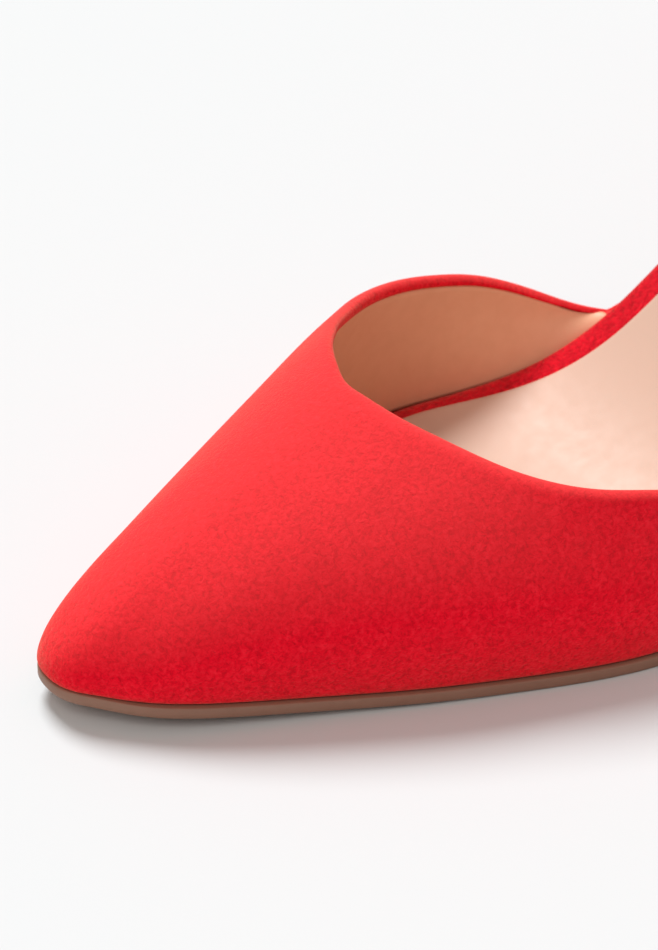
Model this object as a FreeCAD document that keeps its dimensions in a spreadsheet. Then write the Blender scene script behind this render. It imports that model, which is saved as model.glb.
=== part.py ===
"""High-heel pump with open sides (d'Orsay cut): pointed closed toe, closed heel cup, wrapped insole
and slim covered heel. A left shoe, built as the separate pieces of a cement-lasted pump.

Frame: +Z up, toe towards -Y, heel towards +Y, outer (lateral) side +X. The origin is the centre of
the top lift's ground face, on the floor.

Words used throughout:
  dist  plan position from the toe tip (0) to the back of the insole (240); Y = dist - HEEL_DIST
  arc   arc length on the insole outline from the toe tip, positive along the lateral side
  over  offset along the normal of the feather plane, the surface on which the upper meets the
        outsole; it follows the toe spring, the tread, the rise of the arch and the heel seat
  run   position along a wall of the upper, -1 (medial end) to 1 (lateral end)
  rise  position up a wall of the upper, 0 (feather) to 1 (topline)
"""
import FreeCAD, Part
import math
import os
import Sketcher
from FreeCAD import Placement, Rotation, Vector

doc = FreeCAD.newDocument("pump")

# ---------------------------------------------------------------- driving dimensions
DIMS = [
    ("shoe_len", 240.0, "insole length on the floor, toe tip to heel back"),
    ("ball_d", 83.0, "toe tip to the tread line"),
    ("toe_spring", 3.7, "rise of the toe tip"),
    ("shank_slope", 0.835, "steepest slope of the arch"),
    ("seat_slope", 0.20, "slope of the heel seat"),
    ("sole_thk", 2.0, "outsole thickness"),
    ("upper_thk", 1.0, "upper material"),
    ("stiff_thk", 0.7, "toe puff and counter"),
    ("lining_thk", 0.7, "lining"),
    ("layer_gap", 0.05, "glue line"),
    ("rand_lo", 1.15, "wrap underside over the feather plane"),
    ("rand_hi", 3.80, "wrap top over the feather plane"),
    ("wrap_thk", 0.50, "wrap material"),
    ("board_hi", 3.30, "insole board top"),
    ("sock_thk", 0.80, "sock thickness"),
    ("rand_width", 4.2, "visible wrap margin"),
    ("shank_width", 10.0, "steel shank width"),
    ("lift_hgt", 5.0, "top lift height"),
    ("pin_dia", 3.0, "top lift pin diameter"),
    ("pin_len", 14.0, "top lift pin length"),
    ("tube_dia", 4.6, "dowel tube outside diameter"),
    ("tube_len", 54.0, "dowel tube length"),
    ("cover_thk", 0.6, "heel cover material"),
    ("screw_len", 18.0, "heel screw shaft length"),
    ("screw_r", 1.9, "heel screw radius"),
    ("screw_head_r", 3.6, "heel screw head radius"),
    ("nail_len", 11.0, "heel nail length"),
    ("nail_r", 0.9, "heel nail radius"),
    ("rivet_r", 1.6, "shank rivet radius"),
]
dims_sheet = doc.addObject("Spreadsheet::Sheet", "Dims")
for i, (alias, value, note) in enumerate(DIMS):
    dims_sheet.set("A%d" % (i + 1), note)
    dims_sheet.set("B%d" % (i + 1), repr(value))
    dims_sheet.setAlias("B%d" % (i + 1), alias)
doc.recompute()
DIM = {alias: float(dims_sheet.get(alias)) for alias, _, _ in DIMS}

LENGTH = DIM["shoe_len"]
BALL = DIM["ball_d"]
SPRING = DIM["toe_spring"]
SOLE = DIM["sole_thk"]
HEEL_DIST = 217.7  # centre of the top lift
ARCH_RUN = 55.2  # length over which the arch reaches its steepest slope
SEAT_START = 170.0  # from here the slope eases ...
SEAT_RUN = 52.0  # ... over this length to that of the heel seat
UPPER = DIM["upper_thk"]
# Full wall: upper, stiffener and lining with two glue lines
WALL = UPPER + DIM["stiff_thk"] + DIM["lining_thk"] + 2 * DIM["layer_gap"]


# ---------------------------------------------------------------- curve helpers
def lerp(start, stop, frac):
    return start + (stop - start) * frac


def even(start, stop, count):
    """Evenly spaced values, both ends included."""
    return [lerp(start, stop, i / (count - 1)) for i in range(count)]


def smooth(start, stop, value):
    """Smooth step from 0 at start to 1 at stop; start may be the larger one."""
    frac = min(1.0, max(0.0, (value - start) / (stop - start)))
    return frac * frac * (3 - 2 * frac)


def unit(vector):
    size = math.sqrt(sum(c * c for c in vector)) or 1.0
    return [c / size for c in vector]


def moved(point, direction, amount):
    return [p + amount * c for p, c in zip(point, direction)]


def locate(keys, value):
    """Interval of a rising table that holds value, and the fraction within it."""
    low, high = 0, len(keys) - 1
    while high - low > 1:
        middle = (low + high) // 2
        if keys[middle] <= value:
            low = middle
        else:
            high = middle
    return low, (value - keys[low]) / (keys[high] - keys[low])


def spline(keys, values):
    """Natural cubic spline through numbers, as a function."""
    count = len(keys)
    step = [keys[i + 1] - keys[i] for i in range(count - 1)]
    lower, diag, upper, right = [0.0] * count, [1.0] * count, [0.0] * count, [0.0] * count
    for i in range(1, count - 1):
        lower[i], diag[i], upper[i] = step[i - 1], 2 * (step[i - 1] + step[i]), step[i]
        right[i] = 6 * ((values[i + 1] - values[i]) / step[i]
                        - (values[i] - values[i - 1]) / step[i - 1])
    for i in range(1, count):
        ratio = lower[i] / diag[i - 1]
        diag[i] -= ratio * upper[i - 1]
        right[i] -= ratio * right[i - 1]
    bend = [0.0] * count  # second derivatives
    bend[-1] = right[-1] / diag[-1]
    for i in range(count - 2, -1, -1):
        bend[i] = (right[i] - upper[i] * bend[i + 1]) / diag[i]

    def curve(key):
        i = 0
        while i < count - 2 and key > keys[i + 1]:
            i += 1
        size = step[i]
        left, rest = (keys[i + 1] - key) / size, (key - keys[i]) / size
        cubic = (left ** 3 - left) * bend[i] + (rest ** 3 - rest) * bend[i + 1]
        return left * values[i] + rest * values[i + 1] + cubic * size * size / 6

    return curve


def point_spline(keys, points):
    curves = [spline(keys, column) for column in zip(*points)]
    return lambda key: [curve(key) for curve in curves]


def mirrored_keys(keys):
    """Keys from 0 to 1, extended to run from -1 to 1."""
    return [-k for k in keys[:0:-1]] + keys


def two_sided(keys, lateral, medial=None, odd=False):
    """Spline of numbers over -1 (medial) to 1 (lateral); odd changes the medial sign."""
    sign = -1 if odd else 1
    values = [sign * value for value in (medial or lateral)[:0:-1]] + lateral
    return spline(mirrored_keys(keys), values)


def two_sided_points(keys, lateral, medial=None):
    """Spline of points over -1 (medial) to 1 (lateral); the medial x changes sign."""
    points = [(-x, y, z) for x, y, z in (medial or lateral)[:0:-1]] + lateral
    return point_spline(mirrored_keys(keys), points)


# ---------------------------------------------------------------- feather plane: side profile
def slope(dist):
    if dist < BALL:
        return -2 * SPRING * (1 - dist / BALL) / BALL
    arch, seat = DIM["shank_slope"], DIM["seat_slope"]
    return (arch * smooth(BALL, BALL + ARCH_RUN, dist)
            + (seat - arch) * smooth(SEAT_START, SEAT_START + SEAT_RUN, dist))


PROFILE_STEPS = 520
PROFILE_END = LENGTH * 1.04
profile_z = [SOLE + SPRING]  # the slope integrated by Simpson's rule
for i in range(1, PROFILE_STEPS + 1):
    start = PROFILE_END * (i - 1) / PROFILE_STEPS
    stop = PROFILE_END * i / PROFILE_STEPS
    total = slope(start) + 4 * slope((start + stop) / 2) + slope(stop)
    profile_z.append(profile_z[-1] + total * (stop - start) / 6)


def feather_z(dist):
    if dist <= 0:
        return profile_z[0] + slope(0) * dist
    place = min(dist, PROFILE_END - 1e-6) / PROFILE_END * PROFILE_STEPS
    i = min(PROFILE_STEPS - 1, int(place))
    return lerp(profile_z[i], profile_z[i + 1], place - i)


def over_point(dist, over):
    """(dist, z) reached from the feather plane at dist along its normal."""
    grade = slope(dist)
    size = math.sqrt(1 + grade * grade)
    return dist - grade / size * over, feather_z(dist) + over / size


over_tables = {}


def over_z(dist, over):
    """Height at plan position dist of the surface at an offset over the feather plane."""
    if over not in over_tables:
        count = int((PROFILE_END + 12) / 0.4)
        over_tables[over] = list(zip(*[over_point(-12 + 0.4 * i, over) for i in range(count)]))
    keys, heights = over_tables[over]
    low, frac = locate(keys, dist)
    return lerp(heights[low], heights[low + 1], frac)


# ---------------------------------------------------------------- insole outline in plan
# (x, dist) from the toe tip to the heel, lateral and medial
OUTLINE_LATERAL = [
    (0, 3.55), (3.7, 4.3), (6.5, 6.9), (11.0, 12.2), (17.29, 24.51), (22.41, 37.85), (27.87, 52),
    (33.03, 67.5), (37.36, 83), (38.6, 93), (37.6, 106), (34.0, 120), (29.4, 134), (25.6, 149),
    (23.9, 165), (24.0, 181), (24.4, 197), (23.2, 212), (18.6, 226), (10.4, 235.4)]
OUTLINE_MEDIAL = [
    (-2.5, 4.1), (-4.2, 6.7), (-7.0, 12.2), (-12.1, 24.51), (-18.1, 37.85), (-24.3, 52),
    (-31.0, 67.5), (-34.1, 79), (-35.2, 88), (-34.0, 97), (-31.2, 106), (-28.2, 115),
    (-26.2, 124), (-25.2, 134), (-24.2, 147), (-23.6, 163), (-24.0, 180), (-24.2, 197),
    (-22.8, 212), (-18.2, 226), (-10.2, 235.4)]
OUTLINE_STEPS = 1000
OUTLINE_OVERLAP = 5  # points repeated at both ends, so that the spline closes smoothly


def path_lengths(points):
    """Length along a polyline at each of its points."""
    lengths = [0.0]
    for a, b in zip(points, points[1:]):
        lengths.append(lengths[-1] + math.hypot(b[0] - a[0], b[1] - a[1]))
    return lengths


def closed_outline():
    ring = OUTLINE_LATERAL + [(0, LENGTH - 1.0)] + OUTLINE_MEDIAL[::-1]
    points = ring[-OUTLINE_OVERLAP:] + ring + ring[:OUTLINE_OVERLAP]
    keys = path_lengths(points)
    curve = point_spline(keys, points)
    first, last = keys[OUTLINE_OVERLAP], keys[OUTLINE_OVERLAP + len(ring)]
    return [curve(key) for key in even(first, last, OUTLINE_STEPS + 1)]


outline_points = closed_outline()
outline_arcs = path_lengths(outline_points)
OUTLINE_LEN = outline_arcs[-1]
HEEL_ARC = outline_arcs[max(range(OUTLINE_STEPS + 1), key=lambda i: outline_points[i][1])]


def half_length(side):
    """Arc length from the toe tip to the heel back, side 1 lateral or -1 medial."""
    return HEEL_ARC if side > 0 else OUTLINE_LEN - HEEL_ARC


def outline_at(arc):
    i, frac = locate(outline_arcs, arc % OUTLINE_LEN)
    a, b = outline_points[i], outline_points[i + 1]
    return lerp(a[0], b[0], frac), lerp(a[1], b[1], frac)


def outline(arc):
    """Point (x, dist) of the insole outline and its outward normal."""
    a, b = outline_at(arc - 0.8), outline_at(arc + 0.8)
    run_x, run_y = b[0] - a[0], b[1] - a[1]
    size = math.hypot(run_x, run_y)
    return outline_at(arc), (run_y / size, -run_x / size)


def outside(foot, amount):
    """Outline point moved outwards along its normal; foot is (point, normal)."""
    point, normal = foot
    return point[0] + normal[0] * amount, point[1] + normal[1] * amount


def edge_point(arc, edge):
    """Outline point moved outwards by edge(dist)."""
    foot = outline(arc)
    return outside(foot, edge(foot[0][1]))


def arc_at(side, edge, dist):
    """Arc length at which the offset outline passes dist on one side."""
    low, high = 0.0, half_length(side)
    while high - low > 0.01:
        middle = (low + high) / 2
        if edge_point(side * middle, edge)[1] < dist:
            low = middle
        else:
            high = middle
    return low


# ---------------------------------------------------------------- vamp wall
FOOT_GAP = 0.03  # underside of the upper over the feather plane
VAMP_RUN = [0, .08, .16, .24, .32, .40, .48, .55, .62, .68, .74, .80, .85, .90, .94, .97, 1.0]
# Topline (x, dist, z) at VAMP_RUN; the medial side differs over the last four stations
VAMP_TOP_LATERAL = [
    (0, 57.3, 41.0), (4, 57.9, 40.7), (8, 58.9, 40.1), (12, 60.6, 39.2), (16, 63, 37.9),
    (20, 65.8, 36.4), (24, 69.5, 34.6), (27.2, 73, 33.3), (30.3, 77.2, 32.1), (32.7, 82, 31),
    (34.4, 88.2, 29.7), (35.4, 96, 27.6), (35.5, 104, 25), (34.8, 112, 21.8),
    (34.3, 117.9, 19.7), (33.4, 123.8, 18.5), (31.9, 130.6, 19.6)]
VAMP_TOP_MEDIAL = VAMP_TOP_LATERAL[:13] + [
    (34.8, 112, 21.8), (33.0, 117.6, 19.7), (30.6, 122.8, 17.9), (27.8, 128.3, 16.7)]
# Outline arc of the wall's foot at VAMP_RUN
VAMP_ARC_LATERAL = [0, 5, 12, 21, 32, 44, 56.5, 68, 80, 90.5, 99.5, 107.5, 115, 121.5, 128.0,
                    133.8, 140.8]
VAMP_ARC_MEDIAL = [0, 5, 12, 21, 32, 44, 56.5, 68, 80, 90.5, 98.5, 106.0, 113, 119.3, 125.3,
                   130.4, 136.0]
# Direction from the topline back into the wall
LEAN_RUN = [0, .16, .32, .48, .62, .74, .85, 1.0]
LEAN = [(0, -1, -.42), (.22, -.97, -.45), (.42, -.85, -.55), (.52, -.62, -.75), (.42, -.36, -1),
        (.26, -.14, -1), (.12, -.02, -1), (.0, 0, -1)]
# Lengths of the Bezier handles at the topline and at the foot, and outward bulge of the foot's
HANDLE_RUN = [0, .16, .32, .48, .62, .74, .85, .94, 1.0]
TOP_HANDLE_LATERAL = [22, 22, 21, 18, 14, 10, 8, 4, .4]
TOP_HANDLE_MEDIAL = [21, 12.4, 8.6, 6.4, 5.6, 5.2, 4.8, 3, .4]
FOOT_HANDLE_LATERAL = [11, 11.5, 12, 12, 11, 9, 7, 3.0, .4]
FOOT_HANDLE_MEDIAL = [11, 9.6, 9.2, 9.0, 8.6, 7.4, 6, 3.0, .4]
FOOT_BULGE = [1.3, 1.8, 2.4, 2.8, 2.5, 2.0, 1.4, .6, 0]


def rim_points(points, medial):
    """Topline set forward near the toe and shifted in height: medial higher, lateral lower."""
    rim = []
    for run, (x, dist, z) in zip(VAMP_RUN, points):
        amount = smooth(0.0, 0.25, run) * (1 - smooth(0.85, 1.0, run))
        z += (1.45 if medial else -0.60) * amount
        if medial and run < 0.5:
            z += 0.5 * (smooth(0.0, 0.1, run) - amount)
        forward = (1.3 + 0.6 * (1 - smooth(0.0, 0.2, run))) * (1 - smooth(0.05, 0.45, run))
        rim.append((x, dist - forward, z))
    return rim


vamp_top = two_sided_points(
    VAMP_RUN, rim_points(VAMP_TOP_LATERAL, False), rim_points(VAMP_TOP_MEDIAL, True))
vamp_arc = two_sided(VAMP_RUN, VAMP_ARC_LATERAL, VAMP_ARC_MEDIAL, odd=True)
vamp_lean = two_sided_points(LEAN_RUN, LEAN)
top_handle = two_sided(HANDLE_RUN, TOP_HANDLE_LATERAL, TOP_HANDLE_MEDIAL)
foot_handle = two_sided(HANDLE_RUN, FOOT_HANDLE_LATERAL, FOOT_HANDLE_MEDIAL)
foot_bulge = two_sided(HANDLE_RUN, FOOT_BULGE)


def bezier(a, b, c, d, frac):
    rest = 1 - frac
    return [rest * rest * rest * a[k] + 3 * rest * rest * frac * b[k]
            + 3 * rest * frac * frac * c[k] + frac * frac * frac * d[k] for k in range(3)]


def vamp_foot(run):
    return outline(vamp_arc(run))


def vamp(run, rise):
    """Point (x, dist, z) of the vamp's outer surface."""
    foot = vamp_foot(run)
    normal = foot[1]
    x, dist = outside(foot, lerp(WALL + 0.05, 1.3, smooth(0.9, 1.0, abs(run))))
    bottom = [x, dist, feather_z(dist) + FOOT_GAP]
    top = vamp_top(run)
    if abs(run) > 0.95:
        top[2] = max(top[2], feather_z(top[1]) + (2.0 if run > 0 else 1.0))
    bulge = foot_bulge(run)
    low = [x + normal[0] * bulge, dist + normal[1] * bulge, bottom[2] + foot_handle(run)]
    high = moved(top, unit(vamp_lean(run)), top_handle(run))
    return bezier(bottom, low, high, top, rise)


# ---------------------------------------------------------------- quarter wall (heel cup)
# The run starts at the back seam; topline (x, dist, z) and foot arc forward from the heel back
QUARTER_RUN = [0, .15, .30, .42, .52, .62, .72, .80, .87, .93, .97, 1.0]
QUARTER_TOP = [
    (0, 236.6, 134.5), (6.6, 235.4, 134.2), (12.4, 231.2, 132.8), (16.4, 225.0, 130.0),
    (19.0, 218, 125.4), (21.0, 210, 118.6), (22.6, 201.8, 109.2), (23.8, 194.4, 98.6),
    (24.9, 187.0, 86.6), (25.9, 179.6, 74.6), (26.3, 173.6, 64.2), (26.4, 167.0, 50.2)]
QUARTER_ARC = [0, 10, 20, 29, 38, 48, 58, 66, 72.5, 78, 81.5, 84]
quarter_top = two_sided_points(QUARTER_RUN, QUARTER_TOP)
quarter_arc = two_sided(QUARTER_RUN, QUARTER_ARC, odd=True)
quarter_bulge = two_sided([0, .3, .6, .85, 1.0], [3.2, 3.2, 2.6, 1.2, 0.0])


def quarter_foot(run):
    return outline(HEEL_ARC - quarter_arc(run))


def quarter(run, rise):
    """Point (x, dist, z) of the heel cup's outer surface."""
    foot = quarter_foot(run)
    normal = foot[1]
    x, dist = outside(foot, WALL + 0.05)
    bottom = [x, dist, feather_z(dist) + FOOT_GAP]
    top = quarter_top(run)
    top[2] = max(top[2], feather_z(top[1]) + 1.6)
    height = top[2] - bottom[2]
    bulge = quarter_bulge(run)
    low = [x + normal[0] * bulge, dist + normal[1] * bulge, bottom[2] + 0.36 * height]
    high = [lerp(top[k], bottom[k], 0.12) + normal[k] * bulge * 0.7 for k in (0, 1)]
    high.append(top[2] - 0.34 * height)
    return bezier(bottom, low, high, top, rise)


# Wall: surface, foot on the outline, sign of the surface normal that points away from the foot
VAMP = (vamp, vamp_foot, 1)
QUARTER = (quarter, quarter_foot, -1)


def inset(wall, run, rise, depth):
    """Point of a wall surface moved inwards by depth."""
    surface, _, sign = wall
    step = 1e-3
    a, b = surface(max(-1.0, run - step), rise), surface(min(1.0, run + step), rise)
    c, d = surface(run, max(0.0, rise - step)), surface(run, min(1.0, rise + step))
    along = [b[k] - a[k] for k in range(3)]
    up = [d[k] - c[k] for k in range(3)]
    normal = unit([along[1] * up[2] - along[2] * up[1],
                   along[2] * up[0] - along[0] * up[2],
                   along[0] * up[1] - along[1] * up[0]])
    return moved(surface(run, rise), normal, -sign * depth)


# ---------------------------------------------------------------- surfaces to solids
def in_frame(point):
    """(x, dist, z) as a vector of the shoe frame."""
    return Vector(point[0], point[1] - HEEL_DIST, point[2])


def clamped_knots(count, degree):
    spans = count - degree
    return list(range(spans + 1)), [degree + 1] + [1] * (spans - 1) + [degree + 1]


def patch(grid, degree_v=3):
    """B-spline face on a pole grid."""
    surface = Part.BSplineSurface()
    knots_u, mults_u = clamped_knots(len(grid), 3)
    knots_v, mults_v = clamped_knots(len(grid[0]), degree_v)
    surface.buildFromPolesMultsKnots(
        grid, mults_u, mults_v, knots_u, knots_v, False, False, 3, degree_v)
    return surface.toShape()


def solid_from(faces):
    shell = Part.makeShell(faces)
    shell.sewShape()
    if shell.ShapeType != "Shell":  # sewing can wrap the shell in a compound
        shell = shell.Shells[0]
    solid = Part.makeSolid(shell)
    if solid.Volume < 0:
        solid.reverse()
    return solid


def slab(grid_a, grid_b):
    """Solid between two pole grids of the same size, closed by four ruled sides."""
    def ruled(edge_a, edge_b):
        return patch([[a, b] for a, b in zip(edge_a, edge_b)], 1)

    return solid_from([
        patch(grid_a), patch(grid_b),
        ruled(grid_a[0], grid_b[0]), ruled(grid_a[-1], grid_b[-1]),
        ruled([r[0] for r in grid_a], [r[0] for r in grid_b]),
        ruled([r[-1] for r in grid_a], [r[-1] for r in grid_b])])


def feature(name, shape):
    item = doc.addObject("Part::Feature", name)
    item.Shape = shape
    return item


def boolean(kind, name, base, tool):
    """Part::Cut or Part::Common of two objects."""
    item = doc.addObject("Part::" + kind, name)
    item.Base, item.Tool = base, tool
    return item


def fuse(name, shapes):
    item = doc.addObject("Part::MultiFuse", name)
    item.Shapes = shapes
    return item


def cylinder(name, radius, height, placement):
    """Cylinder whose radius is an expression."""
    item = doc.addObject("Part::Cylinder", name)
    item.setExpression("Radius", radius)
    item.Height = height
    item.Placement = placement
    return item


def sheet(edge, low, high, start=None, stop=None, rows=116, tip=1.3, floor=-math.inf):
    """Sheet between two offsets over the feather plane, its edge edge(dist) outside the outline.

    start and stop are limits in dist. Without them it runs from the arc length tip to just short
    of the heel back. floor is the lowest z allowed.
    """
    back, across = 1.6, 9  # stop short of the heel back; poles across the sheet
    ends = []
    for side in (1, -1):
        first = tip if start is None else arc_at(side, edge, start)
        last = half_length(side) - back if stop is None else arc_at(side, edge, stop)
        ends.append((first, last))
    pairs = []
    for frac in even(0, 1, rows):
        if start is None:
            frac = frac ** 1.3  # closer rows at the toe
        pairs.append((edge_point(lerp(*ends[0], frac), edge),
                      edge_point(-lerp(*ends[1], frac), edge)))

    def grid(over):
        poles = []
        for lateral, medial in pairs:
            line = []
            for frac in even(0, 1, across):
                x, dist = lerp(medial[0], lateral[0], frac), lerp(medial[1], lateral[1], frac)
                line.append(in_frame((x, dist, max(over_z(dist, over), floor))))
            poles.append(line)
        return poles

    return slab(grid(low), grid(high))


parts = {}


def add_part(name, shape):
    parts[name] = feature(name, shape)


# ---------------------------------------------------------------- outsole, insole and sock
RAND_LO, RAND_HI, RAND_WIDTH = DIM["rand_lo"], DIM["rand_hi"], DIM["rand_width"]
BOARD_HI, WRAP = DIM["board_hi"], DIM["wrap_thk"]


def toe_share(dist):
    """1 at the toe, 0 from dist 40 on."""
    return smooth(40, 4, dist)


def toe_inset(dist):
    """Extra inset of the insole edge at the toe."""
    return 0.25 * smooth(28, 6, dist)


def outsole_edge(dist):
    return lerp(WALL + 0.65 - 0.75 * smooth(16, 2, dist), 0.35, smooth(122, 140, dist))


def board_edge(dist):
    return -WRAP - 0.45 - toe_inset(dist)


def foam_edge(dist):
    return -RAND_WIDTH - 0.15 + 1.5 * toe_share(dist)


def sock_edge(dist):
    return -RAND_WIDTH + 0.5 + 1.3 * toe_share(dist)


def wrap_section(depth):
    """C-shaped section of the wrap at a depth in its material, as (inset, over) points."""
    high, low = RAND_HI - depth, RAND_LO + depth
    turn = 0.75 + depth if depth else 0.9  # inset at which the turn round the edge starts
    return [(RAND_WIDTH, high), (2.4, high), (turn, high), (depth, high - 0.1),
            (depth, RAND_HI - (1.1 if depth else 1.0)), (depth, RAND_LO + (1.1 if depth else 1.0)),
            (depth, low + 0.1), (turn, low), (2.4, low), (RAND_WIDTH, low)]


def wrap_solid():
    """Strip turned round the insole edge, with a butt joint at the back of the heel."""
    joint_gap = 0.06

    def column(arc, section):
        poles = []
        for amount, over in section:
            def edge(dist):
                narrowing = 0.42 * toe_share(dist) * smooth(0.8, 3.0, amount)
                return -amount * (1 - narrowing) - toe_inset(dist)

            x, dist = edge_point(arc, edge)
            poles.append(in_frame((x, dist, over_z(dist, over))))
        return poles

    arcs = []
    for i in range(120):
        share = 2.0 * i / 119 - 1
        arcs.append(math.copysign(abs(share) ** 1.3, share) * (half_length(share) - joint_gap))
    return slab([column(arc, wrap_section(0.0)) for arc in arcs],
                [column(arc, wrap_section(WRAP)) for arc in arcs])


add_part("outsole", sheet(outsole_edge, -SOLE - 0.12, 0.0, stop=186.5, floor=0.0, tip=0.9))
add_part("insole_wrap", wrap_solid())
board_blank = feature(
    "insole_board_blank", sheet(board_edge, RAND_LO + WRAP + 0.03, BOARD_HI - 0.03))
add_part("cushion_foam", sheet(foam_edge, BOARD_HI + 0.02, RAND_HI, stop=195))
add_part("sock_lining", sheet(sock_edge, RAND_HI + 0.03, RAND_HI + DIM["sock_thk"]))

# ---------------------------------------------------------------- shank board, shank, filler
FILL_LO, FILL_HI = 0.04, RAND_LO - 0.04  # layer between the feather plane and the wrap
SHANK_START, SHANK_END = 112, 200
SHANK_HALF = DIM["shank_width"] / 2
SLOT_CLEAR = 0.15  # each side of the shank


def filler_edge(dist):
    return -8.4 + 2.5 * toe_share(dist)


def shank_board_edge(dist):
    return lerp(-8.6, -4.0, smooth(126, 150, dist)) - 4.6 * smooth(160, 176, dist)


def shank_solid():
    """Straight strip bent along the feather plane."""
    def grid(over):
        points = [over_point(dist, over) for dist in even(SHANK_START, SHANK_END, 36)]
        return [[in_frame((x, dist, z)) for x in even(-SHANK_HALF, SHANK_HALF, 5)]
                for dist, z in points]

    return slab(grid(0.10), grid(RAND_LO - 0.10))


add_part("bottom_filler", sheet(filler_edge, FILL_LO, FILL_HI, start=20, stop=104, rows=50))
add_part("steel_shank", shank_solid())
shank_blank = feature(
    "shank_board_blank", sheet(shank_board_edge, FILL_LO, FILL_HI, start=105, stop=203, rows=60))
slot = doc.addObject("Part::Box", "shank_slot")
slot.Length, slot.Width, slot.Height = DIM["shank_width"] + 2 * SLOT_CLEAR, 200, 200
slot.Placement = Placement(
    in_frame((-SHANK_HALF - SLOT_CLEAR, SHANK_START - 0.5, -20)), Rotation())
parts["shank_board"] = boolean("Cut", "shank_board", shank_blank, slot)


# ---------------------------------------------------------------- PartDesign bodies
def origin_feature(body, role):
    return [item for item in body.Origin.OriginFeatures if item.Role == role][0]


def sketched_body(name, plane):
    """New body with an empty sketch on one of its origin planes."""
    body = doc.addObject("PartDesign::Body", name)
    sketch = body.newObject("Sketcher::SketchObject", name + "_sketch")
    sketch.AttachmentSupport = [(origin_feature(body, plane), "")]
    sketch.MapMode = "FlatFace"
    return body, sketch


def finish_body(body, tip, placement):
    body.Tip = tip
    body.Placement = placement
    doc.recompute()
    return body


def revolved(name, profile, placement):
    """Body turned about its own Z axis; profile is a closed list of (radius, height)."""
    body, sketch = sketched_body(name, "XZ_Plane")
    for a, b in zip(profile, profile[1:] + profile[:1]):
        sketch.addGeometry(Part.LineSegment(Vector(*a, 0), Vector(*b, 0)), False)
    turn = body.newObject("PartDesign::Revolution", name + "_turn")
    turn.Profile = sketch
    turn.ReferenceAxis = (origin_feature(body, "Z_Axis"), [""])
    turn.Angle = 360
    return finish_body(body, turn, placement)


def padded(name, length, base_z, circles=(), poles=None):
    """Pad, from z base_z, of circles (radius, expression) or a closed spline; length is an
    expression."""
    body, sketch = sketched_body(name, "XY_Plane")
    for radius, expression in circles:
        circle = sketch.addGeometry(Part.Circle(Vector(0, 0, 0), Vector(0, 0, 1), radius), False)
        sketch.addConstraint(Sketcher.Constraint("Coincident", circle, 3, -1, 1))
        index = sketch.addConstraint(Sketcher.Constraint("Radius", circle, radius))
        sketch.setExpression("Constraints[%d]" % index, expression)
    if poles:
        curve = Part.BSplineCurve()
        curve.buildFromPoles(poles, True, 3)
        sketch.addGeometry(curve, False)
    pad = body.newObject("PartDesign::Pad", name + "_pad")
    pad.Profile = sketch
    pad.setExpression("Length", length)
    return finish_body(body, pad, Placement(Vector(0, 0, base_z), Rotation()))


# ---------------------------------------------------------------- screw, nails and rivets
HOLE_CLEAR = 0.04  # on the radius
HEAD_SEAT = BOARD_HI + 0.02  # underside of the heads, over the feather plane
SCREW_DIST = 205.0
NAILS = [(11.5, 207.5), (-11.5, 207.5), (9.5, 224.0), (-9.5, 224.0)]  # (x, dist)
RIVET_DISTS = (124.0, 188.0)
RIVET_BASE = RAND_LO - 0.08


def seat_placement(dist, over, x=0):
    """Placement over the feather plane, its Z axis along the surface normal."""
    y, z = over_point(dist, over)
    tilt = math.degrees(math.atan(slope(dist)))
    return Placement(in_frame((x, y, z)), Rotation(Vector(1, 0, 0), tilt))


def hole(name, alias, placement, low, high):
    """Clearance cylinder round the radius alias, from low to high on the placement's Z axis."""
    base = placement.multiply(Placement(Vector(0, 0, low), Rotation()))
    return cylinder(name, "Dims.%s + %s" % (alias, HOLE_CLEAR), high - low, base)


def pin_profile(shaft, length, taper, tip, head, crown, rim_z, crown_z):
    """Half profile of a headed pin: radii shaft, tip, head and crown, taper length, heights."""
    return [(0, crown_z), (crown, crown_z), (head, rim_z), (head, 0), (shaft, 0),
            (shaft, -length + taper), (tip, -length), (0, -length)]


screw_place = seat_placement(SCREW_DIST, HEAD_SEAT)
parts["heel_screw"] = revolved("heel_screw", pin_profile(
    shaft=DIM["screw_r"], length=DIM["screw_len"], taper=3, tip=0.4,
    head=DIM["screw_head_r"], crown=DIM["screw_head_r"] * 0.75, rim_z=0.2, crown_z=0.42),
    screw_place)
seat_holes = [hole("screw_hole", "screw_r", screw_place, -DIM["screw_len"] - 0.3, 1.0)]

nail_radius = DIM["nail_r"]
nail_profile = pin_profile(
    shaft=nail_radius, length=DIM["nail_len"], taper=1.5, tip=0.2,
    head=nail_radius * 2.1, crown=nail_radius * 1.8, rim_z=0.15, crown_z=0.4)
nails = []
for i, (x, dist) in enumerate(NAILS):
    place = seat_placement(dist, HEAD_SEAT, x)
    nails.append(revolved("nail_%d" % i, nail_profile, place))
    seat_holes.append(hole("nail_hole_%d" % i, "nail_r", place, -DIM["nail_len"] - 0.3, 1.0))
parts["heel_nails"] = fuse("heel_nails", nails)

rivet_len = BOARD_HI - 0.04 - RIVET_BASE
rivets, rivet_holes = [], []
for i, dist in enumerate(RIVET_DISTS):
    place = seat_placement(dist, RIVET_BASE)
    rivets.append(cylinder("rivet_shank_%d" % i, "Dims.rivet_r", rivet_len, place))
    rivet_holes.append(hole("rivet_hole_%d" % i, "rivet_r", place, -1.0, rivet_len + 1.0))
parts["shank_rivets"] = fuse("shank_rivets", rivets)

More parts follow.
